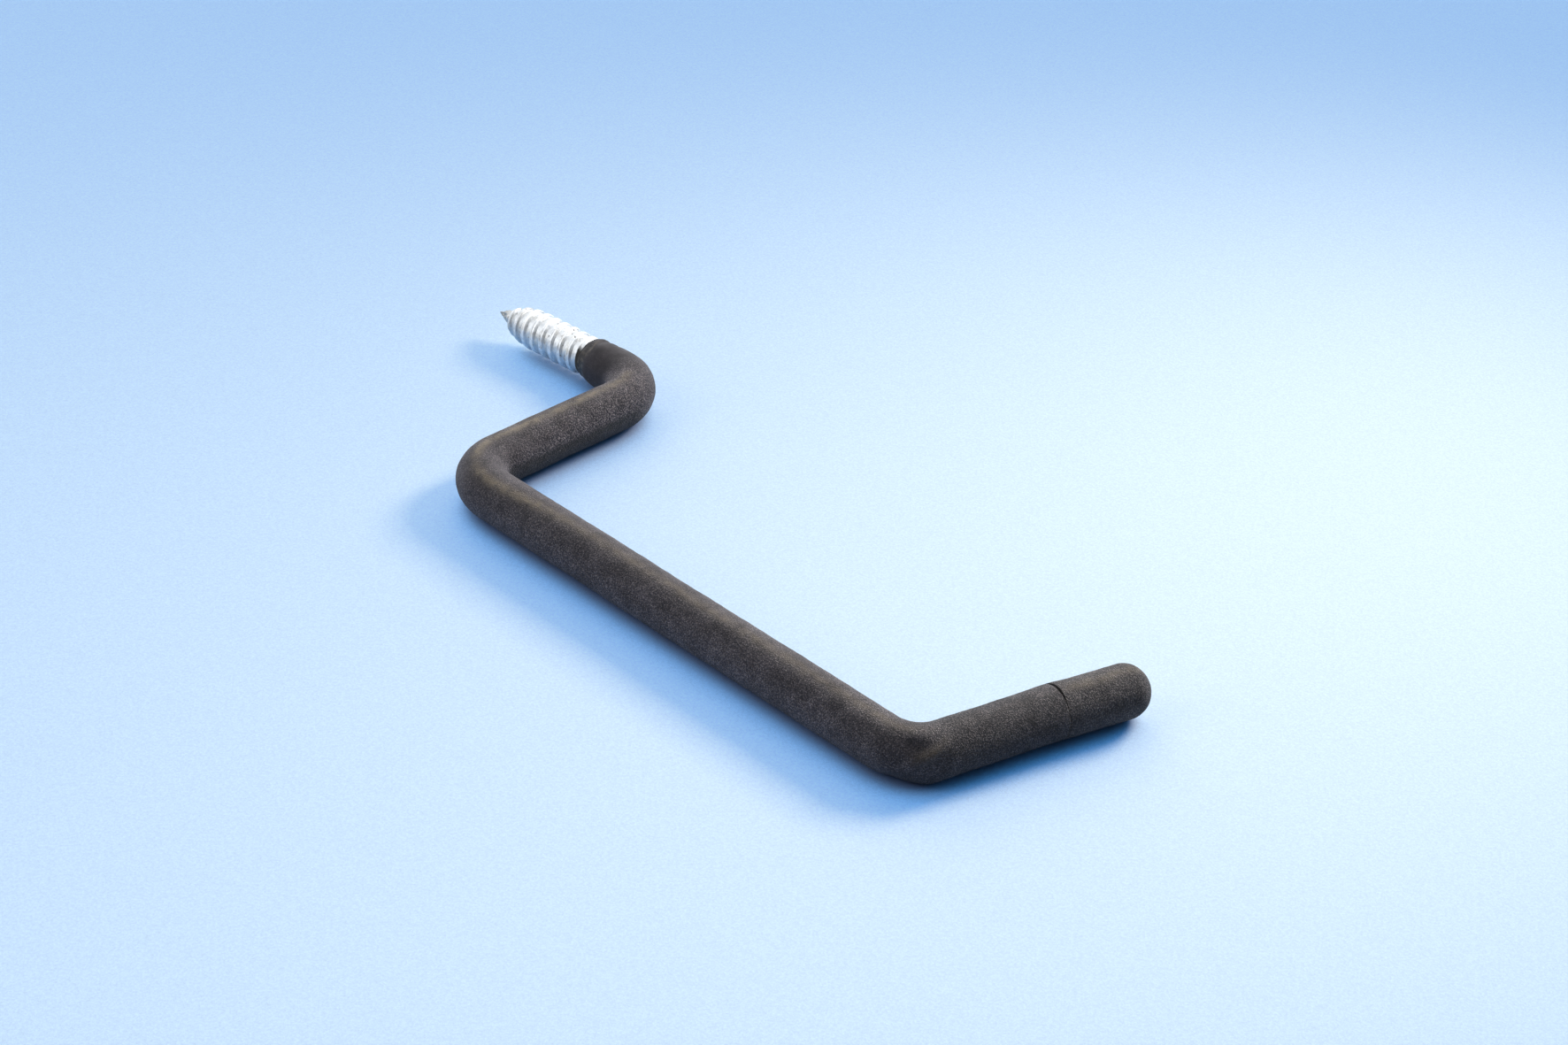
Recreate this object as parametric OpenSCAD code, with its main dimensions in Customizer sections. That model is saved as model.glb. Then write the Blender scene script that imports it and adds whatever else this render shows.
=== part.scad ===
// Foam-covered screw hook: a steel rod with a lag thread at one end, bent into a
// wide square hook, with a foam sleeve over the bends and a foam cap on the tip.
//
// Frame: the screw axis is the X axis and the thread runs towards -X. The origin is
// where the sleeve begins, which is where the hook stops against the wall. The hook
// lies flat: the rod's centre line stays in the plane z = 0, and +Z is up.

/* [Bent rod] */
// Diameter of the steel rod
rod_d = 9.5; // [9.4:0.1:10]
// Length from the sleeve's mouth to the first corner
neck_len = 21.5; // [21:0.5:40]
// Length of the drop leg, corner to corner
drop_len = 63.5; // [40:0.5:120]
// Length of the arm, corner to corner
arm_len = 144; // [60:1:250]
// Length of the tip leg, from the last corner to the end of the cap
tip_len = 62; // [61:0.5:90]
// Turn from the neck down into the drop leg
drop_turn = 93; // [85:0.5:100]
// Turn from the drop leg out along the arm
arm_turn = 89; // [80:0.5:100]
// Turn from the arm up into the tip leg
tip_turn = 76; // [60:0.5:90]
// Centre-line radius of the bend between neck and drop leg
drop_bend_r = 12.5; // [10:0.5:13]
// Centre-line radius of the bend between drop leg and arm
arm_bend_r = 11; // [8.5:0.5:18]
// Centre-line radius of the bend between arm and tip leg
tip_bend_r = 10.5; // [8.5:0.5:18]

/* [Lag thread] */
// Length of the screw from the sleeve's mouth to its point
screw_len = 32.2; // [28:0.1:60]
// Diameter over the thread's crests
thread_d = 10.6; // [10.2:0.1:11.2]
// Diameter of the core between the turns
root_d = 9.1; // [8.4:0.1:9.4]
// Distance from turn to turn
thread_pitch = 3.2; // [2.8:0.1:4.5]
// Width of the flat crest
crest_w = 0.8; // [0.3:0.05:1]
// Angle between the two flanks of a turn
flank_angle = 75; // [50:1:90]
// Length over which the crests grow from the point to full diameter
thread_taper = 12; // [8:0.5:16]
// Length of the smooth gimlet point ahead of the first turn
point_len = 3.8; // [2:0.1:6]
// Diameter of the gimlet point at its base
point_d = 3.2; // [2:0.1:4]
// Length over which the last turn fades into the rod
thread_runout = 1.6; // [1:0.1:6]
// Distance from the sleeve's mouth back to where the last turn ends
thread_stop = 0.3; // [0.2:0.1:4]

/* [Foam] */
// Outer diameter of the foam
foam_d = 12.7; // [12:0.1:16]
// Clearance between the rod and the foam's bore, on each side
foam_fit = 0.05; // [0.02:0.01:0.1]
// Diameter of the sleeve at its mouth, where it is drawn down on the rod
mouth_d = 10.9; // [10.9:0.1:11.8]
// Length over which the sleeve swells from its mouth to full diameter
mouth_len = 6; // [3:0.5:7]
// Rounding of the foam's cut edges
foam_edge_r = 0.5; // [0.2:0.05:0.6]
// Distance from the last corner to the seam between sleeve and cap
seam_at = 37.5; // [22:0.5:39]
// Rounding of the cap's closed end
cap_end_r = 6; // [4:0.1:6.2]
// Tilt of the cap away from the rod's line, which opens the seam on its inner side
cap_tilt = 2.3; // [0:0.1:3]
// Gap left where the cap and the sleeve all but touch
seam_gap = 0.1; // [0.05:0.05:0.5]
// Length of rod inside the cap
rod_in_cap = 17; // [12:0.5:18]
// Clearance between the rod's end and the bottom of the cap's bore
cap_end_fit = 0.3; // [0.1:0.1:1]
// Chamfer on the rod's sawn end
rod_chamfer = 0.8; // [0.3:0.1:1.5]

/* [Hidden] */
$fn = 96;

rod_r = rod_d / 2;
foam_r = foam_d / 2;
bore_r = rod_r + foam_fit;
mouth_r = mouth_d / 2;

// A bend is a hair fuller than the straights, which run a little way into it.
bend_swell = rod_d / 500;
bend_lap = rod_d / 30;

// Headings of the four straight stretches, in degrees from +X.
neck_dir = 0;
drop_dir = neck_dir - drop_turn;
arm_dir = drop_dir + arm_turn;
tip_dir = arm_dir + tip_turn;

// Corners, where the centre lines of two stretches cross.
function ahead(start, heading, length) = start + length * [cos(heading), sin(heading)];
mouth = [0, 0];
drop_corner = ahead(mouth, neck_dir, neck_len);
arm_corner = ahead(drop_corner, drop_dir, drop_len);
tip_corner = ahead(arm_corner, arm_dir, arm_len);

// Length of straight that a bend takes up on each side of its corner.
function setback(turn, bend_r) = bend_r * tan(turn / 2);
drop_setback = setback(drop_turn, drop_bend_r);
arm_setback = setback(arm_turn, arm_bend_r);
tip_setback = setback(tip_turn, tip_bend_r);

// Where the neck's straight ends and the tip leg's begins, each with its lap.
neck_to = neck_len - drop_setback + bend_lap;
tip_from = tip_setback - bend_lap;

// Moves its children so that their +X runs along the given heading.
module facing(start, heading) {
    translate([start.x, start.y, 0]) rotate([0, 0, heading]) children();
}

// A solid of revolution about +X. Its outline is a list of [distance, radius].
module turned(outline) {
    rotate([0, 90, 0]) rotate([0, 0, 90]) rotate_extrude()
        polygon([for (p = outline) [p[1], p[0]]]);
}

// A round bar along +X, from one distance to another.
module bar(radius, from, to) {
    translate([from, 0, 0]) rotate([0, 90, 0]) cylinder(r = radius, h = to - from);
}

// A bend of a round bar. A positive turn goes to the left of the heading.
module bend(corner, heading, turn, bend_r, radius) {
    side = turn > 0 ? 1 : -1;
    start = ahead(corner, heading, -setback(abs(turn), bend_r));
    centre = ahead(start, heading + 90 * side, bend_r);
    first = turn > 0 ? heading - 90 : heading + 90 + turn;
    facing(centre, first) rotate_extrude(angle = abs(turn))
        translate([bend_r, 0]) circle(radius + bend_swell);
}

// The three bends, with the drop leg and the arm between them.
module bent_middle(radius) {
    bend(drop_corner, neck_dir, -drop_turn, drop_bend_r, radius);
    facing(drop_corner, drop_dir)
        bar(radius, drop_setback - bend_lap, drop_len - arm_setback + bend_lap);
    bend(arm_corner, drop_dir, arm_turn, arm_bend_r, radius);
    facing(arm_corner, arm_dir)
        bar(radius, arm_setback - bend_lap, arm_len - tip_setback + bend_lap);
    bend(tip_corner, arm_dir, tip_turn, tip_bend_r, radius);
}

/* Screw: distances are measured along X, so the point is at -screw_len. */
point_x = -screw_len;
first_turn_x = point_x + point_len;
full_thread_x = first_turn_x + thread_taper;
runout_x = -thread_stop - thread_runout;
thread_r = thread_d / 2;
root_r = root_d / 2;
point_r = point_d / 2;

// Radius of the crests: they swell quickly behind the point and then level off.
taper_power = 2.3;
function crest_r(x) =
    let (u = min(max((full_thread_x - x) / thread_taper, 0), 1))
    thread_r * pow(1 - pow(u, taper_power), 1 / taper_power);

// Outline of the core under the turns, from the point to the plain rod.
taper_steps = 10;
core_outline = concat(
    [[point_x, 0], [first_turn_x, point_r]],
    [for (i = [1 : taper_steps])
        let (x = first_turn_x + thread_taper * i / taper_steps)
        [x, max(point_r, crest_r(x) - (thread_r - root_r))]],
    [[runout_x, root_r], [-thread_stop, rod_r]]
);
function core_r(x) = lookup(x, core_outline);

// Share of the full crest that is left as the last turn fades out.
function crest_share(x) = min(max((-thread_stop - x) / thread_runout, 0), 1);

// The ridge is sunk into the core by a share of its height, so the two join.
ridge_sink = (thread_r - root_r) / 3;
function foot_r(x) = max(core_r(x) - ridge_sink, point_r / 4);
function top_r(x) = foot_r(x) + max(crest_r(x) - foot_r(x), ridge_sink / 2) * crest_share(x);

// Cross-section of the ridge round a crest at x, as [distance, radius] pairs.
// Its foot stays inside its own turn's share of the pitch.
foot_share = 0.46;
function ridge_section(x) =
    let (
        top = top_r(x),
        rise = max(top - foot_r(x), ridge_sink / 8),
        crest_half = crest_w / 2,
        foot_half = min(crest_half + rise * tan(flank_angle / 2), foot_share * thread_pitch)
    )
    [
        [x - foot_half, foot_r(x - foot_half)],
        [x - crest_half, top],
        [x + crest_half, top],
        [x + foot_half, foot_r(x + foot_half)]
    ];

// A point of that section, turned about the screw axis. The thread is right-handed.
function on_screw(p, angle) = [p[0], p[1] * cos(angle), p[1] * sin(angle)];

// Angle about the screw axis at which a crest would pass through the point.
thread_phase = 168;

steps_per_turn = 36;
ridge_from = first_turn_x + crest_w;
ridge_to = -thread_stop;
ridge_steps = round((ridge_to - ridge_from) / thread_pitch * steps_per_turn);

module thread_ridge() {
    sections = [for (i = [0 : ridge_steps])
        let (x = ridge_from + (ridge_to - ridge_from) * i / ridge_steps,
             angle = thread_phase + (x - point_x) / thread_pitch * 360)
        [for (p = ridge_section(x)) on_screw(p, angle)]];
    points = [for (section = sections) for (p = section) p];
    sides = [for (i = [0 : ridge_steps - 1]) for (k = [0 : 3])
        let (a = 4 * i + k, b = 4 * i + (k + 1) % 4)
        each [[a, b + 4, a + 4], [a, b, b + 4]]];
    last = 4 * ridge_steps;
    ends = [[0, 2, 1], [0, 3, 2], [last, last + 1, last + 2], [last, last + 2, last + 3]];
    polyhedron(points, concat(sides, ends));
}

// The whole steel part: gimlet point, lag thread, shank, three bends and a sawn end.
rod_stop = seam_at + rod_in_cap;
module hook_rod() {
    color([0.80, 0.82, 0.84]) union() {
        turned(concat(core_outline, [[neck_to, rod_r], [neck_to, 0]]));
        thread_ridge();
        bent_middle(rod_r);
        facing(tip_corner, tip_dir) turned([
            [tip_from, 0],
            [tip_from, rod_r],
            [rod_stop - rod_chamfer, rod_r],
            [rod_stop, rod_r - rod_chamfer],
            [rod_stop, 0]
        ]);
    }
}

// Points of an arc about [x, r], from one angle to another.
arc_steps = 6;
function arc_points(x, r, radius, from, to) =
    [for (i = [0 : arc_steps])
        let (a = from + (to - from) * i / arc_steps)
        [x + radius * cos(a), r + radius * sin(a)]];

// Foam sleeve: drawn down on the rod at its mouth, and cut square at the seam.
module sleeve_body() {
    turned(concat(
        [[0, 0]],
        arc_points(foam_edge_r, mouth_r - foam_edge_r, foam_edge_r, 180, 90),
        [[mouth_len, foam_r], [neck_to, foam_r], [neck_to, 0]]
    ));
    bent_middle(foam_r);
    facing(tip_corner, tip_dir) turned(concat(
        [[tip_from, 0], [tip_from, foam_r]],
        arc_points(seam_at - foam_edge_r, foam_r - foam_edge_r, foam_edge_r, 90, 0),
        [[seam_at, 0]]
    ));
}
module foam_sleeve() {
    color([0.13, 0.12, 0.12]) difference() {
        sleeve_body();
        bar(bore_r, -foam_edge_r, neck_to);
        bent_middle(bore_r);
        facing(tip_corner, tip_dir) bar(bore_r, tip_from, seam_at + foam_edge_r);
    }
}

// Foam cap: a round-ended plug with a blind bore, tilted about the outer edge of the seam.
cap_len = tip_len - seam_at;
// The end is rounded off only as far as the foam beyond the bore allows.
cap_round = min(cap_end_r, cap_len - rod_in_cap - cap_end_fit);
module cap_body() {
    turned(concat(
        [[seam_gap, 0]],
        arc_points(seam_gap + foam_edge_r, foam_r - foam_edge_r, foam_edge_r, 180, 90),
        arc_points(cap_len - cap_round, foam_r - cap_round, cap_round, 90, 45),
        arc_points(cap_len - cap_round, foam_r - cap_round, cap_round, 45, 0),
        [[cap_len, 0]]
    ));
}
module foam_end_cap() {
    color([0.12, 0.11, 0.11]) difference() {
        facing(ahead(tip_corner, tip_dir, seam_at), tip_dir)
            translate([0, -foam_r, 0]) rotate([0, 0, -cap_tilt]) translate([0, foam_r, 0]) cap_body();
        facing(tip_corner, tip_dir) bar(bore_r, seam_at - foam_edge_r, rod_stop + cap_end_fit);
    }
}

hook_rod();
foam_sleeve();
foam_end_cap();
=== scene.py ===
"""A foam-covered screw hook: zinc-plated lag screw, bent rod, foam sleeve and foam cap.

Each piece is modelled straight, along X, in millimetres, and is then laid on the
hook's centre line, which runs from the wall along the neck, down the drop leg, out
along the arm and up the tip leg. A distance along that line is called s. An angle
about it is 0 on the left of the line's heading, and 90 degrees on top.
"""
import math
import bmesh
import bpy
from mathutils import Matrix, Vector, noise


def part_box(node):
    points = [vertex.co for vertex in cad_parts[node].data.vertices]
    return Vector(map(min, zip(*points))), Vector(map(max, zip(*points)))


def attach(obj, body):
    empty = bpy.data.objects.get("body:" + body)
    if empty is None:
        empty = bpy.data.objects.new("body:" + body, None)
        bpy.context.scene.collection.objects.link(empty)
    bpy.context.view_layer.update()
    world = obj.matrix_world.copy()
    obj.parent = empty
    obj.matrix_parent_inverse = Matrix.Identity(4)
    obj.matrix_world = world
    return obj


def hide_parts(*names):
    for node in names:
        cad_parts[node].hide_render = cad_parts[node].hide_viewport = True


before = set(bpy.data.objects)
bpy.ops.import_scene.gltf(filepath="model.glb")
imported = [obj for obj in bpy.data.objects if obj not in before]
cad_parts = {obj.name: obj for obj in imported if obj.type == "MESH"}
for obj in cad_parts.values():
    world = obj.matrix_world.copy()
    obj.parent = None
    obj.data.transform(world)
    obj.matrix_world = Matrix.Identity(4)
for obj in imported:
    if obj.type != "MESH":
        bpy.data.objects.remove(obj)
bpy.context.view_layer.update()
MM = 0.001

# ---- Sizes, in millimetres and degrees ---------------------------------------------------
# The centre line: its four legs, measured to the corners, and its three bends.
NECK_LEN, DROP_LEN, ARM_LEN, TIP_LEN = 21.5, 63.5, 144.0, 62.0
DROP_TURN, ARM_TURN, TIP_TURN = -93.0, 89.0, 76.0
DROP_BEND_R, ARM_BEND_R, TIP_BEND_R = 12.5, 11.0, 10.5

# The rod, from the screw to its sawn end inside the cap.
ROD_R = 4.75
ROD_IN_CAP = 17.0
ROD_CHAMFER = 0.8
ROD_STEP = 1.2

# The thread: the crests taper to the point, and the last turn fades into the rod at the wall.
SCREW_LEN = 32.2
CREST_R = 5.3
THREAD_PITCH = 3.2
THREAD_DEPTH = 0.7
HALF_CREST = 0.42
FLANK_LEN = 0.5
CREST_FURROW = 0.17
THREAD_PHASE = 168.0  # its turn about the axis, in degrees
THREAD_TAPER = 12.0
TAPER_POWER = 2.3
LEAST_ROOT = 0.6  # of the crest's radius, near the point
FADE_START, FADE_END = -1.2, 0.2
PLAIN_ROD_AT = 1.5  # where the wound thread is trimmed, and the plain rod begins
SPARE_THREAD = 6  # wound past the wall, and trimmed off
THREAD_SIDES = 64
TURN_STEPS = 22

# The gimlet point, a little rounder than a cone. Its root runs on inside the thread.
POINT_LEN = 3.8
POINT_R = 1.6
POINT_POWER = 0.85
POINT_ROOT = 1.6  # how far its form runs on, in point lengths
POINT_OVERLAP = 1
POINT_BLUNT = 0.08

# The foam, its close bore, and its mouth.
FOAM_R = 6.35
BORE_R = ROD_R + 0.05
BORE_SPARE = 0.3
MOUTH_R = 5.2
MOUTH_EDGE_R = 0.3
FOAM_SIDES = 84
FOAM_STEP = 0.6
BORE_STEP = 1.5
HAIR = 0.01  # what is this close to the bore is on it

# The seam and the cap. The cap tilts about the seam's outer side, so that the seam opens
# on the inner side, and it gapes a little more on top.
SEAM_AT = 37.5
SEAM_GAP = 0.03
SEAM_SHUT = 4.3  # how far out from the centre line the cap's hinge lies
SEAM_GAPE = 0.42
SEAM_EDGE_R = 0.05
SEAM_SWELL = 0.12
CUT_EDGE = 0.03  # what is this close to the cut is on its face
CUT_SHADE = -1.4  # painted shade on the two cut faces, inside the seam's gap, as a wear_and_shade mark
CAP_TILT = 2.6
CAP_END_R = 6.0


# ---- The centre line of the hook ---------------------------------------------------------
class Stretch:
    """One straight or one bend of the centre line, and the distance at which it starts."""

    def __init__(self, start, point, heading, length, bend_r=None, side=0):
        self.start, self.point, self.heading = start, point, heading
        self.length, self.bend_r, self.side = length, bend_r, side

    def place(self, along, left, up):
        """The point at a distance along the stretch, off to the left of it and above it."""
        ahead = Vector((math.cos(self.heading), math.sin(self.heading), 0))
        leftward = Vector((-ahead.y, ahead.x, 0))
        if self.bend_r is None:
            return self.point + ahead * along + leftward * left + Vector((0, 0, up))
        centre = self.point + leftward * self.side * self.bend_r
        turned = self.side * along / self.bend_r
        spoke = -leftward * self.side * (self.bend_r - self.side * left)
        return centre + Matrix.Rotation(turned, 3, "Z") @ spoke + Vector((0, 0, up))


def setback(turn, bend_r):
    """How far before its corner a bend starts."""
    return bend_r * math.tan(math.radians(abs(turn)) / 2)


def walk_hook():
    """The seven stretches from the wall to the tip."""
    turns = [(DROP_TURN, DROP_BEND_R), (ARM_TURN, ARM_BEND_R), (TIP_TURN, TIP_BEND_R)]
    legs = [NECK_LEN, DROP_LEN, ARM_LEN, TIP_LEN]
    setbacks = [0] + [setback(turn, bend_r) for turn, bend_r in turns] + [0]
    point, heading, start, stretches = Vector((0, 0, 0)), 0.0, 0.0, []
    for i, leg in enumerate(legs):
        straight = Stretch(start, point, heading, leg - setbacks[i] - setbacks[i + 1])
        stretches.append(straight)
        point, start = straight.place(straight.length, 0, 0), start + straight.length
        if i < len(turns):
            turn, bend_r = math.radians(turns[i][0]), turns[i][1]
            side = 1 if turn > 0 else -1
            bend = Stretch(start, point, heading, abs(turn) * bend_r, bend_r, side)
            stretches.append(bend)
            point, start = bend.place(bend.length, 0, 0), start + bend.length
            heading += turn
    return stretches


HOOK = walk_hook()
NECK, BEND_1, DROP, BEND_2, ARM, BEND_3, TIP = HOOK
LAST_BEND = BEND_3.start + BEND_3.length / 2
SEAM_S = TIP.start + SEAM_AT - setback(TIP_TURN, TIP_BEND_R)
ROD_END_S = SEAM_S + ROD_IN_CAP
CAP_END_S = SEAM_S + TIP_LEN - SEAM_AT


def on_hook(s, left, up):
    """Where a point of the straight model goes once the hook is bent."""
    stretch = next((h for h in reversed(HOOK) if s >= h.start), NECK)
    return stretch.place(s - stretch.start, left, up)


# ---- Modelling helpers -------------------------------------------------------------------
def clamp(value, low=0.0, high=1.0):
    """A value, held between two limits."""
    return min(max(value, low), high)


def smooth_step(value, low, high):
    """0 below low, 1 above high, with a soft start and end between them."""
    t = clamp((value - low) / (high - low))
    return t * t * (3 - 2 * t)


def stretch_of(s, start, full, fade, end):
    """1 on a stretch of the hook, with a soft start before it and a soft end after it."""
    return smooth_step(s, start, full) * (1 - smooth_step(s, fade, end))


def half_wave(share):
    """Falls softly from 1 to 0 as a share goes from 0 to 1."""
    return 0.5 + 0.5 * math.cos(math.pi * share)


def bump(value, centre, width):
    """A round hump of height 1 about a centre, which fades out over a width."""
    return math.exp(-((value - centre) / width) ** 2)


def facing(angle, toward, width):
    """1 where an angle in radians faces a direction, fading out over a width, in degrees."""
    off = (math.degrees(angle) - toward + 180) % 360 - 180
    return math.exp(-(off / width) ** 2)


def even_steps(first, last, spacing):
    """Distances from first to last, both included, about so far apart."""
    count = max(1, round(abs(last - first) / spacing))
    return [first + (last - first) * i / count for i in range(count + 1)]


def arc(s, r, radius, first, last, count):
    """Points of an arc in a profile, between two angles in degrees."""
    angles = [math.radians(first + (last - first) * i / count) for i in range(count + 1)]
    return [(s + radius * math.cos(a), r + radius * math.sin(a)) for a in angles]


def lathe(bm, profile, sides, closed=True):
    """Turns a profile of (distance, radius) points about the X axis."""
    verts = [bm.verts.new((s, r, 0)) for s, r in profile]
    ends = zip(verts, verts[1:] + verts[:1]) if closed else zip(verts, verts[1:])
    edges = [bm.edges.new(pair) for pair in ends]
    bmesh.ops.spin(bm, geom=verts + edges, cent=(0, 0, 0), axis=(1, 0, 0),
                   angle=math.tau, steps=sides, use_merge=True)
    bmesh.ops.remove_doubles(bm, verts=bm.verts, dist=1e-4)


def polar(v):
    """Radius of a vertex about the X axis, and its angle in radians."""
    return math.hypot(v.co.y, v.co.z), math.atan2(v.co.z, v.co.y)


def set_polar(v, radius, angle):
    """Moves a vertex to a radius and an angle about the X axis."""
    v.co.y, v.co.z = radius * math.cos(angle), radius * math.sin(angle)


def bend_to_hook(bm):
    """Lays a straight model on the hook's centre line, and turns it into metres."""
    for v in bm.verts:
        v.co = on_hook(*v.co) * MM


def add_piece(name, bm, material):
    """Makes an object of a finished bmesh, with its faces outwards."""
    bmesh.ops.recalc_face_normals(bm, faces=bm.faces)
    for face in bm.faces:
        face.smooth = True
    mesh = bpy.data.meshes.new(name)
    bm.to_mesh(mesh)
    bm.free()
    mesh.materials.append(material)
    piece = bpy.data.objects.new(name, mesh)
    bpy.context.scene.collection.objects.link(piece)
    return piece


# ---- Steel rod with its lag thread -------------------------------------------------------
def thread_height(offset):
    """Height of a turn over the root, at an offset from the middle of its crest."""
    off = abs(offset)
    if off <= HALF_CREST:
        return THREAD_DEPTH - CREST_FURROW * half_wave(off / HALF_CREST)
    return THREAD_DEPTH * half_wave(clamp((off - HALF_CREST) / FLANK_LEN))


def crest_r(x):
    """Radius of the crests, which swell quickly behind the point."""
    u = clamp((POINT_LEN - SCREW_LEN + THREAD_TAPER - x) / THREAD_TAPER)
    return CREST_R * (1 - u ** TAPER_POWER) ** (1 / TAPER_POWER)


def point_r(x, angle):
    """Radius of the gimlet point, whose plating is flaked."""
    u = clamp((x + SCREW_LEN) / POINT_LEN, 0.0, POINT_ROOT)
    flake = noise.noise(Vector((x * 1.3, 1.5 * math.cos(angle), 1.5 * math.sin(angle))))
    return POINT_R * u ** POINT_POWER * (1 + 0.5 * flake)


def thread_wear(place):
    """How far dents and nicks move the thread's surface."""
    x, y, z = place
    dents = noise.noise(Vector((x * 0.9, y * 0.5, z * 0.5)))
    nicks = noise.noise(Vector((x * 2.6, y * 1.7, z * 1.7)) + Vector((7, 3, 1)))
    return 0.07 * dents + 0.05 * nicks


def shape_thread(bm):
    """Tapers the turns to the point, fades out the last one and wears the crests a little."""
    for v in bm.verts:
        r, angle = polar(v)
        x = v.co.x
        height = r - (CREST_R - THREAD_DEPTH)
        top = crest_r(x)
        root = max(top - THREAD_DEPTH, LEAST_ROOT * top)
        radius = root + (top - root) * height / THREAD_DEPTH
        radius += thread_wear(v.co) * min(top / CREST_R, 1)
        radius += (ROD_R - radius) * smooth_step(x, FADE_START, FADE_END)
        if x < POINT_LEN - SCREW_LEN + POINT_OVERLAP:
            radius = max(radius, point_r(x, angle))
        set_polar(v, radius, angle)


def wind_thread(bm):
    """Winds the section of one turn about the X axis, and trims both of its ends flat."""
    turns = math.ceil((SCREW_LEN + SPARE_THREAD) / THREAD_PITCH)
    first = -SCREW_LEN - THREAD_PITCH * (1 + THREAD_PHASE / 360)
    offsets = [THREAD_PITCH * (i / TURN_STEPS - 0.5) for i in range(TURN_STEPS + 1)]
    section = [bm.verts.new((first + offset, CREST_R - THREAD_DEPTH + thread_height(offset), 0))
               for offset in offsets]
    edges = [bm.edges.new(pair) for pair in zip(section, section[1:])]
    bmesh.ops.spin(bm, geom=section + edges, cent=(0, 0, 0), axis=(1, 0, 0),
                   dvec=(THREAD_PITCH / THREAD_SIDES, 0, 0),
                   angle=math.tau * turns, steps=THREAD_SIDES * turns)
    bmesh.ops.remove_doubles(bm, verts=bm.verts, dist=1e-3)
    shape_thread(bm)
    for cut_x, side in ((-SCREW_LEN + POINT_BLUNT, -1), (PLAIN_ROD_AT, 1)):
        bmesh.ops.bisect_plane(bm, geom=bm.verts[:] + bm.edges[:] + bm.faces[:],
                               plane_co=(cut_x, 0, 0), plane_no=(side, 0, 0), clear_outer=True)


def make_rod(material):
    """Gimlet point, lag thread, and the bare rod that runs on inside the foam."""
    bm = bmesh.new()
    wind_thread(bm)
    tip = [e for e in bm.edges if e.is_boundary and e.verts[0].co.x < 0]
    bmesh.ops.holes_fill(bm, edges=tip)

    loop = [e for e in bm.edges if e.is_boundary]
    here = PLAIN_ROD_AT
    for there in even_steps(here, ROD_END_S - ROD_CHAMFER, ROD_STEP)[1:] + [ROD_END_S]:
        grown = bmesh.ops.extrude_edge_only(bm, edges=loop)["geom"]
        ring = [g for g in grown if isinstance(g, bmesh.types.BMVert)]
        loop = [g for g in grown if isinstance(g, bmesh.types.BMEdge)]
        bmesh.ops.translate(bm, verts=ring, vec=(there - here, 0, 0))
        here = there
    sawn = 1 - ROD_CHAMFER / ROD_R
    bmesh.ops.scale(bm, verts=ring, vec=(1, sawn, sawn))
    bmesh.ops.holes_fill(bm, edges=loop)
    bend_to_hook(bm)
    return add_piece("steel_hook", bm, material)


# ---- The foam's form ---------------------------------------------------------------------
# Lumps of the soft foam, in three sizes: how fine, how high, and where in the noise.
LUMPS = [(0.11, 0.13, (3, 8, 2)),
         (0.45, 0.06, (5, 1, 9)),
         (1.5, 0.035, (2, 7, 4))]

# Small forms of the sleeve: height, distance, half length, facing and half width in degrees.
# At the mouth: a groove behind the lip on the right, then on the upper left a rolled edge
# and two wrinkles.
MOUTH_FORMS = [(-0.12, 2.7, 0.5, 180, 45),
               (0.20, 1.7, 0.9, 60, 45),
               (-0.26, 3.4, 0.6, 55, 40),
               (-0.20, 6.6, 0.7, 50, 35)]
# Over the last bend, measured from its middle: a flat on the inner side, and on the outer
# side a dent above, a chin below and a hollow before the chin.
BEND_FORMS = [(-0.20, 0.0, 7.0, 0, 60),
              (-0.75, 0.4, 2.0, 134, 16),
              (0.50, 3.0, 2.3, 230, 26),
              (-0.45, -2.8, 2.0, 225, 25)]


def foam_lumps(point):
    """How far soft foam stands out or in, in millimetres, at a point of the bent hook."""
    return sum(height * noise.noise(Vector(point) * fine + Vector(shift))
               for fine, height, shift in LUMPS)


def ridge_at(angle):
    """Where a ridge slants over the outer side of the last bend."""
    turned = math.degrees(angle) % 360
    return LAST_BEND + 4.2 - (turned - 133) / 11


def seam_swell(s, angle):
    """How far the foam stands proud on both sides of the seam, on the upper inner side."""
    near_seam = stretch_of(s, SEAM_S - 7, SEAM_S, SEAM_S, SEAM_S + 6)
    return SEAM_SWELL * near_seam * facing(angle, 60, 65)


def sleeve_form(s, angle):
    """How far the sleeve's skin stands out or in from its plain radius."""
    # Drawn down on the rod at its mouth, and slim over the upper left of the neck.
    out = -(FOAM_R - MOUTH_R) * (1 - smooth_step(s, -2.0, 6.5))
    out -= 0.5 * stretch_of(s, 1, 5, 9, 15) * facing(angle, 55, 50)
    # A thin lip pressed on the rod, on the right.
    out -= 0.30 * (1 - smooth_step(s, 1.7, 2.7)) * facing(angle, 180, 55)
    for height, middle, half_len, toward, width in MOUTH_FORMS:
        out += height * bump(s, middle, half_len) * facing(angle, toward, width)
    for height, middle, half_len, toward, width in BEND_FORMS:
        out += height * bump(s, LAST_BEND + middle, half_len) * facing(angle, toward, width)
    out += 0.85 * bump(s, ridge_at(angle), 1.3) * facing(angle, 148, 24)
    return out + seam_swell(s, angle)


def mouth_edge(angle):
    """How far the sleeve's mouth is set back from its foremost point. It was cut askew."""
    uneven = noise.noise(Vector((math.cos(angle), math.sin(angle), 4)) * 2.6)
    return 0.25 + 0.5 * facing(angle, 70, 30) + 1.5 * facing(angle, 118, 17) + 0.3 * uneven


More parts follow.
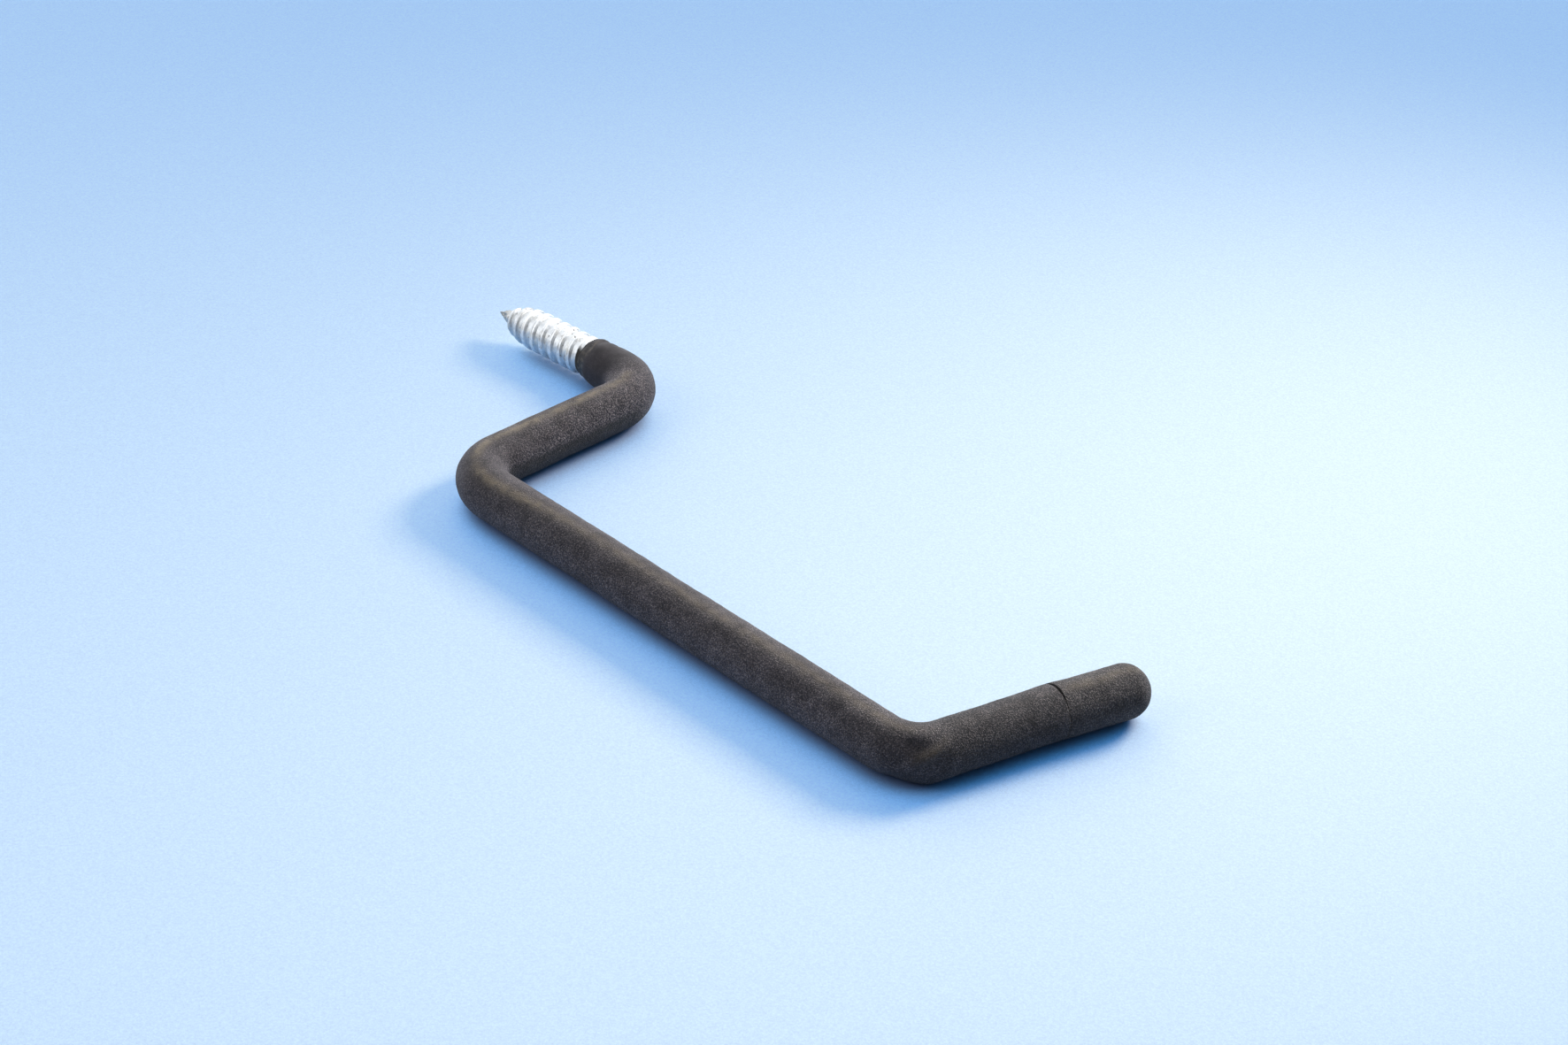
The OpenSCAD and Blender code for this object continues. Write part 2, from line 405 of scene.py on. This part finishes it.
# ---- Marks on the foam's skin ------------------------------------------------------------
def top_band_line(s):
    """The angle at which a pale brown band lies along the upper side of the hook, in degrees."""
    return 95 + 18 * bump(s, ARM.start + 3, 16)


def dust_and_highlight_mark(s, angle):
    """A pale brown band along the top, a pale mark by the mouth, and painted highlights on the ridge
    of the last bend and on the sleeve's edge at the seam.
    """
    along_top = smooth_step(s, 19, 24)
    along_top *= 1 - 0.55 * smooth_step(s, ARM.start + 12, ARM.start + 30)
    along_top *= 1 - 0.75 * bump(s, BEND_2.start + 10.5, 2.2)
    along_top *= 1 - 0.9 * stretch_of(s, BEND_3.start, TIP.start, SEAM_S, SEAM_S + 5)
    # Painted highlight on the ridge of the last bend, on its side towards the light.
    ridge = bump(s, ridge_at(angle), 1.5) * facing(angle, 143, 22)
    mouth = bump(s, 2.2, 0.5) * facing(angle, 118, 24)
    # Painted highlight along the sleeve's cut edge at the seam.
    seam = bump(s, SEAM_S - 0.2, 0.3) * facing(angle, 180, 38)
    return max(along_top * facing(angle, top_band_line(s), 12), 0.5 * ridge, 0.8 * mouth, 0.4 * seam)


def wear_and_shade_mark(s, angle):
    """Above 0 where the foam is paler, and below 0 where it has painted shade."""
    before_arm = 1 - smooth_step(s, BEND_2.start, ARM.start)
    wear_and_shade = stretch_of(s, 12, 20, BEND_3.start - 8, TIP.start)
    wear_and_shade *= 1 - 0.9 * smooth_step(s, DROP.start, DROP.start + 8) * facing(angle, top_band_line(s), 38)
    # Painted shade low on the left, up to the arm.
    wear_and_shade *= 1 - 1.5 * before_arm * facing(angle, -50, 42)
    # Painted shade over the tip leg, up to the seam.
    wear_and_shade -= 0.60 * stretch_of(s, BEND_3.start + 8, TIP.start + 3, SEAM_S - 1, SEAM_S)
    # Painted shade: a dark band, with a clear edge, low on the left of the drop leg.
    band = smooth_step(s, 22, 32) * before_arm * smooth_step(facing(angle, -60, 60), 0.16, 0.32)
    wear_and_shade += (-1.0 - wear_and_shade) * band
    # Painted shade in the crease of the last bend.
    crease_shade = bump(s, LAST_BEND + 0.2, 2.2) * facing(angle, 135, 18)
    return wear_and_shade - 0.40 * crease_shade


def grainy_mark(s):
    """Harsher grain on the drop leg, and most on the tip leg up to the seam."""
    drop_leg = stretch_of(s, 18, 26, BEND_2.start, ARM.start)
    tip_leg = smooth_step(s, BEND_3.start + 8, TIP.start + 3)
    cap = smooth_step(s, SEAM_S - 0.5, SEAM_S)
    return 0.45 * drop_leg + tip_leg * (1 - 0.7 * cap)


def smooth_mark(s, angle):
    """Skin with less grain: the neck, the upper left up to the arm, and round the bend there."""
    neck = 1 - smooth_step(s, 11, 20)
    upper_left = 0.55 * facing(angle, 60, 45)
    upper_left *= stretch_of(s, DROP.start + 20, BEND_2.start, ARM.start + 50, BEND_3.start)
    outer_bend = 0.6 * bump(s, BEND_2.start + 9, 9) * facing(angle, 170, 80)
    return max(neck, upper_left, outer_bend)


def skin_marks(s, angle):
    """How the skin is marked: a pale brown band and painted highlights, paler stretches and painted
    shade, grain, smoothness, and the lip's dirty coat.
    """
    return {"dust_and_highlight": dust_and_highlight_mark(s, angle),
            "wear_and_shade": wear_and_shade_mark(s, angle),
            "grainy": grainy_mark(s),
            "smooth": smooth_mark(s, angle),
            "lip": (1 - smooth_step(s, 2.0, 2.9)) * facing(angle, 185, 60)}


def mark_layers(bm):
    """A layer of numbers on the mesh for each of the skin's marks."""
    return {name: bm.verts.layers.float.new(name) for name in skin_marks(0, 0)}


def mark_skin(v, layers, s, angle, on_cut):
    """Writes the skin's marks on a vertex. The two cut faces of the seam get painted shade."""
    for name, amount in skin_marks(s, angle).items():
        v[layers[name]] = amount
    if on_cut:
        v[layers["wear_and_shade"]] = CUT_SHADE


# ---- Foam sleeve and cap -----------------------------------------------------------------
def make_sleeve(material):
    """Foam tube from its drawn-down mouth to the square cut at the seam."""
    bm = bmesh.new()
    layers = mark_layers(bm)
    seam_edge = SEAM_S - SEAM_EDGE_R
    outer = arc(MOUTH_EDGE_R, FOAM_R - MOUTH_EDGE_R, MOUTH_EDGE_R, 180, 90, 4)[:-1]
    outer += [(s, FOAM_R) for s in even_steps(MOUTH_EDGE_R, seam_edge, FOAM_STEP)]
    outer += arc(seam_edge, FOAM_R - SEAM_EDGE_R, SEAM_EDGE_R, 90, 0, 3)[1:]
    bore = [(s, BORE_R) for s in even_steps(SEAM_S, 0, BORE_STEP)]
    lathe(bm, outer + bore, FOAM_SIDES)
    for v in bm.verts:
        r, angle = polar(v)
        if r < BORE_R + HAIR:
            continue
        s = v.co.x
        share = (r - BORE_R) / (FOAM_R - BORE_R)
        r += share * (sleeve_form(s, angle) + foam_lumps(on_hook(*v.co)))
        v.co.x += mouth_edge(angle) * (1 - smooth_step(s, 0, 4)) * share
        set_polar(v, r, angle)
        mark_skin(v, layers, s, angle, s > SEAM_S - CUT_EDGE)
    bend_to_hook(bm)
    return add_piece("foam_sleeve_skin", bm, material)


def cap_tilt():
    """The turn of the cap about a line at the outer side of the seam."""
    hinge = Vector((SEAM_S, -SEAM_SHUT, 0))
    turn = Matrix.Rotation(math.radians(-CAP_TILT), 4, "Z")
    return Matrix.Translation(hinge) @ turn @ Matrix.Translation(-hinge)


def make_cap(material):
    """Foam plug with a rounded end, tilted so that the seam opens on the inner side."""
    bm = bmesh.new()
    layers = mark_layers(bm)
    face = SEAM_S + SEAM_GAP
    face_edge = face + SEAM_EDGE_R
    shoulder = CAP_END_S - CAP_END_R
    flat_r = FOAM_R - CAP_END_R
    bore_end = ROD_END_S + BORE_SPARE
    closed_at = bore_end + 1
    outer = [(CAP_END_S, r) for r in (0, 0.5 * flat_r)]
    outer += arc(shoulder, flat_r, CAP_END_R, 0, 90, 16)
    outer += [(s, FOAM_R) for s in even_steps(shoulder, face_edge, FOAM_STEP)[1:-1]]
    outer += arc(face_edge, FOAM_R - SEAM_EDGE_R, SEAM_EDGE_R, 90, 180, 3)
    bore = [(s, BORE_R) for s in even_steps(face, bore_end, BORE_STEP)] + [(bore_end, 0)]
    lathe(bm, outer + bore, FOAM_SIDES, closed=False)
    tilt = cap_tilt()
    for v in bm.verts:
        r, angle = polar(v)
        if r < BORE_R + HAIR and v.co.x < bore_end + HAIR:
            continue
        s = v.co.x
        share = min((r - BORE_R) / (FOAM_R - BORE_R), 1.0) if s < closed_at else 1.0
        grown = 1 + share * (seam_swell(s, angle) + foam_lumps(on_hook(*v.co))) / FOAM_R
        v.co.y, v.co.z = v.co.y * grown, v.co.z * grown
        mark_skin(v, layers, s, angle, s < face + CUT_EDGE)
        v.co = tilt @ v.co
        v.co.x += SEAM_GAPE * facing(angle, 84, 40) * (1 - smooth_step(s, face, face + 2.5))
        v.co.x = max(v.co.x, face)
    bend_to_hook(bm)
    return add_piece("foam_cap_skin", bm, material)


# ---- Shader helpers ----------------------------------------------------------------------
def new_material(name):
    """An empty material, its node tree, and the place of a point on the piece."""
    material = bpy.data.materials.new(name)
    material.use_nodes = True
    tree = material.node_tree
    tree.nodes.clear()
    return material, tree, add_node(tree, "ShaderNodeTexCoord").outputs["Object"]


def add_node(tree, kind, inputs=None, **settings):
    """Adds a node, sets its properties, and sets or links its inputs."""
    node = tree.nodes.new(kind)
    for key, value in settings.items():
        setattr(node, key, value)
    for key, value in (inputs or {}).items():
        feed(tree, node.inputs[key], value)
    return node


def feed(tree, socket, value):
    """Links an output to an input, or sets the input to a value."""
    if isinstance(value, bpy.types.NodeSocket):
        tree.links.new(value, socket)
    else:
        socket.default_value = value


def spread(tree, value, low, high, to_low=0.0, to_high=1.0):
    """Maps a value from one range to another, and holds it there."""
    return add_node(tree, "ShaderNodeMapRange", {
        "Value": value, "From Min": low, "From Max": high,
        "To Min": to_low, "To Max": to_high}).outputs["Result"]


def mixed(tree, factor, a, b, blend="MIX"):
    """Colour a changed into colour b by a factor."""
    node = add_node(tree, "ShaderNodeMix", data_type="RGBA", blend_type=blend)
    sockets = {socket.identifier: socket for socket in node.inputs}
    feed(tree, sockets["Factor_Float"], factor)
    feed(tree, sockets["A_Color"], a)
    feed(tree, sockets["B_Color"], b)
    return next(o for o in node.outputs if o.identifier == "Result_Color")


def maths(tree, operation, a, b=0.0, c=0.0):
    """One step of arithmetic."""
    return add_node(tree, "ShaderNodeMath", {0: a, 1: b, 2: c}, operation=operation).outputs[0]


def times(tree, a, b):
    """a times b."""
    return maths(tree, "MULTIPLY", a, b)


def times_plus(tree, a, b, c):
    """a times b, plus c."""
    return maths(tree, "MULTIPLY_ADD", a, b, c)


def coated(tree, under, mask, amount, coat):
    """A colour with so much of a coat over it where a mask is 1."""
    return mixed(tree, times(tree, mask, amount), under, coat)


def grey(tree, value):
    """A colour whose three channels have the same value."""
    return add_node(tree, "ShaderNodeCombineColor", {
        "Red": value, "Green": value, "Blue": value}).outputs["Color"]


def noise_at(tree, place, scale, detail=2.0, rough=0.5, distortion=0.0):
    """A noise pattern at a place, as a value."""
    return add_node(tree, "ShaderNodeTexNoise", {
        "Vector": place, "Scale": scale, "Detail": detail,
        "Roughness": rough, "Distortion": distortion}).outputs["Fac"]


def cells_at(tree, place, scale):
    """Cells at a place: the distance from a cell's middle, and a number of the cell's own."""
    cells = add_node(tree, "ShaderNodeTexVoronoi", {"Vector": place, "Scale": scale}).outputs
    own = add_node(tree, "ShaderNodeSeparateColor", {"Color": cells["Color"]}).outputs[0]
    return cells["Distance"], own


def marked(tree, name):
    """One of the skin's marks, from the mesh."""
    return add_node(tree, "ShaderNodeAttribute", attribute_name=name).outputs["Fac"]


def seen_directly(tree):
    """1 for what the camera or a shiny surface sees, and 0 for light on its way elsewhere."""
    ray = add_node(tree, "ShaderNodeLightPath").outputs
    return maths(tree, "MAXIMUM", ray["Is Camera Ray"], ray["Is Glossy Ray"])


# ---- Foam, zinc and paper ----------------------------------------------------------------
GRAIN_SCALE = 2700
PLAIN_SKIN = 0.14
FLECK_COLOUR = (0.36, 0.34, 0.32, 1)
LIP_DARK, LIP_PALE = (0.016, 0.013, 0.010, 1), (0.150, 0.128, 0.095, 1)

ZINC_DULL, ZINC_BRIGHT = (0.69, 0.71, 0.74, 1), (0.94, 0.95, 0.96, 1)
ZINC_YELLOWED = (0.60, 0.55, 0.46, 1)
ZINC_IN_ROOTS = (0.42, 0.44, 0.46, 1)
ZINC_SPECKS = (0.40, 0.36, 0.31, 1)
ZINC_STAINS = (0.24, 0.20, 0.16, 1)
ZINC_AT_POINT = (0.27, 0.26, 0.25, 1)
# How dark the rod is right beside the foam.
DARK_BY_FOAM_COLOUR = (0.060, 0.050, 0.036, 1)

PAPER_BLUE = (0.34, 0.47, 0.70, 1)
PAPER_WASHED = (0.615, 0.56, 0.33, 1)
PAPER_SHADED = (0.195, 0.215, 0.365, 1)
PAPER_GLOW = (0.026, 0.258, 0.700, 1)


def foam_grain_group():
    """Grainy skin of cell foam: its height, pale grains, bright flecks and change of tone."""
    group = bpy.data.node_groups.new("Foam grain", "ShaderNodeTree")
    face = group.interface
    face.new_socket("Place", in_out="INPUT", socket_type="NodeSocketVector")
    grain_scale = face.new_socket("Grain Scale", in_out="INPUT", socket_type="NodeSocketFloat")
    grain_scale.default_value = GRAIN_SCALE
    for name in ("Height", "Grains", "Flecks", "Tone"):
        face.new_socket(name, in_out="OUTPUT", socket_type="NodeSocketFloat")
    inner = add_node(group, "NodeGroupInput")
    place, scale = inner.outputs["Place"], inner.outputs["Grain Scale"]

    from_middle, own = cells_at(group, place, scale)
    knob = spread(group, from_middle, 0.58, 0.10)
    bright = times(group, knob, spread(group, own, 0.0, 1.0, 0.35, 1.0))
    crumbs = noise_at(group, place, scale, detail=3, rough=0.7)
    height = times_plus(group, bright, 0.55, crumbs)
    grains = maths(group, "POWER", spread(group, height, 0.36, 0.98), 1.5)

    from_fleck, fleck_own = cells_at(group, place, times(group, scale, 0.60))
    chosen = spread(group, fleck_own, 0.982, 0.992)
    flecks = times(group, spread(group, from_fleck, 0.24, 0.10), chosen)
    tone = noise_at(group, place, times(group, scale, 0.08), detail=4, rough=0.6)
    add_node(group, "NodeGroupOutput", {
        "Height": height, "Grains": grains, "Flecks": flecks, "Tone": tone})
    return group


def foam_material(name, grain_group, dark, pale, dust_and_highlight):
    """Black cell foam with a grainy skin, a pale brown band along its top, painted highlights and
    painted shade from the skin's marks, and a smooth neck.
    """
    material, tree, place = new_material(name)
    grain = add_node(tree, "ShaderNodeGroup", node_tree=grain_group)
    feed(tree, grain.inputs["Place"], place)
    tone = grain.outputs["Tone"]
    coarse = times_plus(tree, marked(tree, "smooth"), -0.88, 1.0)

    # Pale grains on dark foam. Where the skin is grainy they stand out more.
    grainy = marked(tree, "grainy")
    grains = times(tree, grain.outputs["Grains"], times_plus(tree, grainy, 1.0, 1.0))
    grains = spread(tree, times_plus(tree, grainy, -0.20, grains), 0.0, 1.6, 0.0, 1.6)
    skin = mixed(tree, coarse, mixed(tree, PLAIN_SKIN, dark, pale), mixed(tree, grains, dark, pale))

    # Clouds of tone, made paler or darker by the wear_and_shade mark, which carries painted shade.
    cloud = spread(tree, tone, 0.34, 0.66, 0.72, 1.28)
    cloud = times(tree, cloud, times_plus(tree, marked(tree, "wear_and_shade"), 0.60, 1.0))
    skin = mixed(tree, 1.0, skin, grey(tree, cloud), "MULTIPLY")

    # Patchy pale brown marks and painted highlights, flecks, and the dirty film of the lip.
    patchy = spread(tree, noise_at(tree, place, 420, detail=4, rough=0.65), 0.34, 0.62)
    dust_and_highlight_share = times(tree, marked(tree, "dust_and_highlight"), times_plus(tree, patchy, 0.75, 0.20))
    skin = mixed(tree, dust_and_highlight_share, skin, dust_and_highlight)
    skin = mixed(tree, grain.outputs["Flecks"], skin, FLECK_COLOUR)
    lip = marked(tree, "lip")
    smeared = spread(tree, noise_at(tree, place, 950, detail=4, rough=0.7), 0.45, 0.62)
    skin = coated(tree, skin, lip, 0.85, mixed(tree, smeared, LIP_DARK, LIP_PALE))

    rough = times_plus(tree, lip, -0.25, spread(tree, tone, 0.35, 0.7, 0.78, 0.64))
    relief = add_node(tree, "ShaderNodeBump", {
        "Height": grain.outputs["Height"], "Strength": coarse, "Distance": 0.30 * MM})
    shader = add_node(tree, "ShaderNodeBsdfPrincipled", {
        "Base Color": skin, "Roughness": rough, "Normal": relief.outputs["Normal"],
        "Specular IOR Level": 0.30, "Sheen Weight": 0.10, "Sheen Roughness": 0.5,
        "Sheen Tint": (0.80, 0.78, 0.78, 1)})
    add_node(tree, "ShaderNodeOutputMaterial", {"Surface": shader.outputs["BSDF"]})
    return material


def zinc_material():
    """Zinc plating, mottled and stained, darker in the roots, dirty at the point, and darker beside
    the foam.
    """
    material, tree, place = new_material("Zinc plating")
    xyz = add_node(tree, "ShaderNodeSeparateXYZ", {"Vector": place}).outputs
    broad = noise_at(tree, place, 320, detail=3, rough=0.6)
    fine = noise_at(tree, place, 1900, detail=4, rough=0.7)
    mottle = noise_at(tree, place, 900, detail=4, rough=0.75, distortion=0.6)
    blots = noise_at(tree, place, 560, detail=5, rough=0.7, distortion=0.5)

    def blurred(value, amount):
        """A measure in metres, made uneven by the mottling."""
        return times_plus(tree, mottle, amount * MM, value)

    across = add_node(tree, "ShaderNodeCombineXYZ", {"Y": xyz["Y"], "Z": xyz["Z"]}).outputs[0]
    radius = add_node(tree, "ShaderNodeVectorMath", {0: across}, operation="LENGTH").outputs["Value"]
    root = spread(tree, blurred(radius, 0.4), 5.20 * MM, 4.75 * MM)
    stain = spread(tree, blots, 0.60, 0.67)
    grimy = spread(tree, blurred(xyz["X"], 2.5), -26.2 * MM, -28.2 * MM)
    # The rod is darker right beside the foam, on its right side.
    near_foam = spread(tree, blurred(xyz["X"], 1.2), -0.6 * MM, -0.2 * MM)
    on_right = spread(tree, times_plus(tree, xyz["Z"], 0.35, xyz["Y"]), -1.2 * MM, -2.6 * MM)
    dark_by_foam = times(tree, near_foam, on_right)

    tint = mixed(tree, spread(tree, mottle, 0.36, 0.60), ZINC_DULL, ZINC_BRIGHT)
    tint = coated(tree, tint, spread(tree, broad, 0.48, 0.68), 0.50, ZINC_YELLOWED)
    tint = coated(tree, tint, root, 0.45, ZINC_IN_ROOTS)
    tint = coated(tree, tint, spread(tree, fine, 0.56, 0.68), 0.30, ZINC_SPECKS)
    tint = coated(tree, tint, stain, 0.70, ZINC_STAINS)
    tint = coated(tree, tint, grimy, 0.70, ZINC_AT_POINT)
    tint = coated(tree, tint, dark_by_foam, 0.95, DARK_BY_FOAM_COLOUR)

    stain_and_dark_edge = maths(tree, "MAXIMUM", stain, dark_by_foam)
    rough = times_plus(tree, stain_and_dark_edge, 0.3, spread(tree, mottle, 0.3, 0.7, 0.30, 0.56))
    shine = times_plus(tree, stain_and_dark_edge, -0.6, 0.85)
    relief = add_node(tree, "ShaderNodeBump", {
        "Height": times_plus(tree, mottle, 1.6, fine), "Strength": 0.6, "Distance": 0.08 * MM})
    shader = add_node(tree, "ShaderNodeBsdfPrincipled", {
        "Base Color": tint, "Roughness": rough, "Metallic": shine,
        "Normal": relief.outputs["Normal"]})
    add_node(tree, "ShaderNodeOutputMaterial", {"Surface": shader.outputs["BSDF"]})
    return material


def paper_material():
    """Blue paper. Where the camera or a shiny surface sees it, it is pale, with a painted glow."""
    material, tree, place = new_material("Blue paper")
    fibres = noise_at(tree, place, 1800, detail=4, rough=0.80)
    fleck = spread(tree, fibres, 0.3, 0.7, 0.89, 1.11)
    washed = mixed(tree, 1.0, PAPER_WASHED, grey(tree, fleck), "MULTIPLY")

    # Painted shadow: the pale colour and the painted glow give way to darker blue where the hook
    # hides much of the bright side, at the back left.
    leaning = add_node(tree, "ShaderNodeCombineXYZ", {"X": -0.38, "Y": 0.40, "Z": 0.83})
    open_side = add_node(tree, "ShaderNodeAmbientOcclusion", {
        "Distance": 80 * MM, "Normal": leaning.outputs[0]}, samples=12)
    lit = spread(tree, open_side.outputs["AO"], 0.19, 0.53, 0.01, 1.0)
    seen = add_node(tree, "ShaderNodeBsdfDiffuse", {"Color": mixed(tree, lit, PAPER_SHADED, washed)})
    glow = add_node(tree, "ShaderNodeEmission", {
        "Color": PAPER_GLOW, "Strength": times(tree, fleck, maths(tree, "POWER", lit, 1.35))})
    seen = add_node(tree, "ShaderNodeAddShader", {0: seen.outputs[0], 1: glow.outputs[0]})

    plain = add_node(tree, "ShaderNodeBsdfDiffuse", {"Color": PAPER_BLUE})
    paper = add_node(tree, "ShaderNodeMixShader", {
        0: seen_directly(tree), 1: plain.outputs[0], 2: seen.outputs[0]})
    add_node(tree, "ShaderNodeOutputMaterial", {"Surface": paper.outputs[0]})
    return material


# ---- Camera, floor and light -------------------------------------------------------------
def make_camera():
    """Looks down on the hook from the side of its arm and tip, at a slight roll."""
    azimuth, elevation, roll = math.radians(37.15), math.radians(33.0), math.radians(5.21)
    target, distance = Vector((84.11, -22.83, 0)) * MM, 702.97 * MM
    back = Vector((math.sin(azimuth) * math.cos(elevation),
                   -math.cos(azimuth) * math.cos(elevation), math.sin(elevation)))
    right = (-back).cross(Vector((0, 0, 1))).normalized()
    up = right.cross(-back)
    across = math.cos(roll) * right + math.sin(roll) * up
    upward = -math.sin(roll) * right + math.cos(roll) * up
    lens = bpy.data.cameras.new("camera")
    lens.lens, lens.sensor_width = 68.24, 36
    lens.clip_start, lens.clip_end = 0.05, 20
    camera = bpy.data.objects.new("camera", lens)
    camera.matrix_world = Matrix.Translation(target + back * distance) @ Matrix(
        (across, upward, back)).transposed().to_4x4()
    bpy.context.scene.collection.objects.link(camera)
    bpy.context.scene.camera = camera


def make_floor():
    """Paper that lies flat under the hook, a hair below the sleeve's box for the foam's lumps."""
    sleeve_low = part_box("foam_sleeve")[0][2]
    bm = bmesh.new()
    bmesh.ops.create_grid(bm, x_segments=2, y_segments=2, size=3.0,
                          matrix=Matrix.Translation((0, 0, sleeve_low - 0.12 * MM)))
    floor = add_piece("paper", bm, paper_material())


def add_lamp(name, place, toward, size, power, colour, cone=180):
    """A soft square lamp, with the angle in degrees of the cone that it lights."""
    lamp = bpy.data.lights.new(name, "AREA")
    lamp.size, lamp.energy, lamp.color, lamp.spread = size, power, colour, math.radians(cone)
    holder = bpy.data.objects.new(name, lamp)
    turn = (Vector(toward) - Vector(place)).to_track_quat("-Z", "Y").to_matrix().to_4x4()
    holder.matrix_world = Matrix.Translation(place) @ turn
    bpy.context.scene.collection.objects.link(holder)


def make_sky():
    """A broad glow from the back left on a faint sky, flatter where it is seen or mirrored."""
    world = bpy.data.worlds.new("sky")
    world.use_nodes = True
    tree = world.node_tree
    background = tree.nodes["Background"]
    background.inputs["Color"].default_value = (0.94, 0.97, 1.0, 1)
    way = add_node(tree, "ShaderNodeTexCoord").outputs["Generated"]
    toward_glow = add_node(tree, "ShaderNodeVectorMath", {0: way, 1: (-0.654, 0.636, 0.409)},
                           operation="DOT_PRODUCT").outputs["Value"]
    lobe = maths(tree, "EXPONENT", times_plus(tree, toward_glow, 5.5, -5.5))
    soft = times_plus(tree, lobe, 3.2, 0.05)
    mirrored = spread(tree, toward_glow, -0.6, 0.9, 0.25, 1.8)
    strength = mixed(tree, seen_directly(tree), soft, mirrored)
    feed(tree, background.inputs["Strength"], strength)
    bpy.context.scene.world = world


def make_light():
    """A soft key close by at the back, a faint fill from the front, and the sky."""
    add_lamp("key", (0.214, 0.542, 0.383), (0.163, -0.156, 0), size=0.214, power=0.72,
             colour=(1.0, 0.99, 0.97), cone=62)
    add_lamp("fill", (-0.5, -0.9, 0.7), (0.08, -0.03, 0), size=0.8, power=3.6,
             colour=(0.96, 0.98, 1.0))
    make_sky()


# ---- The scene ---------------------------------------------------------------------------
bpy.context.scene.view_settings.view_transform = "Standard"
make_camera()
make_floor()
make_light()

grain_group = foam_grain_group()
rod = make_rod(zinc_material())
sleeve = make_sleeve(foam_material("Sleeve foam", grain_group, dark=(0.009, 0.008, 0.013, 1),
                                   pale=(0.236, 0.200, 0.202, 1), dust_and_highlight=(0.250, 0.202, 0.150, 1)))
cap = make_cap(foam_material("Cap foam", grain_group, dark=(0.009, 0.008, 0.012, 1),
                             pale=(0.220, 0.188, 0.181, 1), dust_and_highlight=(0.250, 0.202, 0.150, 1)))
for piece, node, slot in ((rod, "hook_rod", "plated_steel"),
                          (sleeve, "foam_sleeve", "sleeve_foam"),
                          (cap, "foam_end_cap", "cap_foam")):
    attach(piece, "root")
    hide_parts(node)
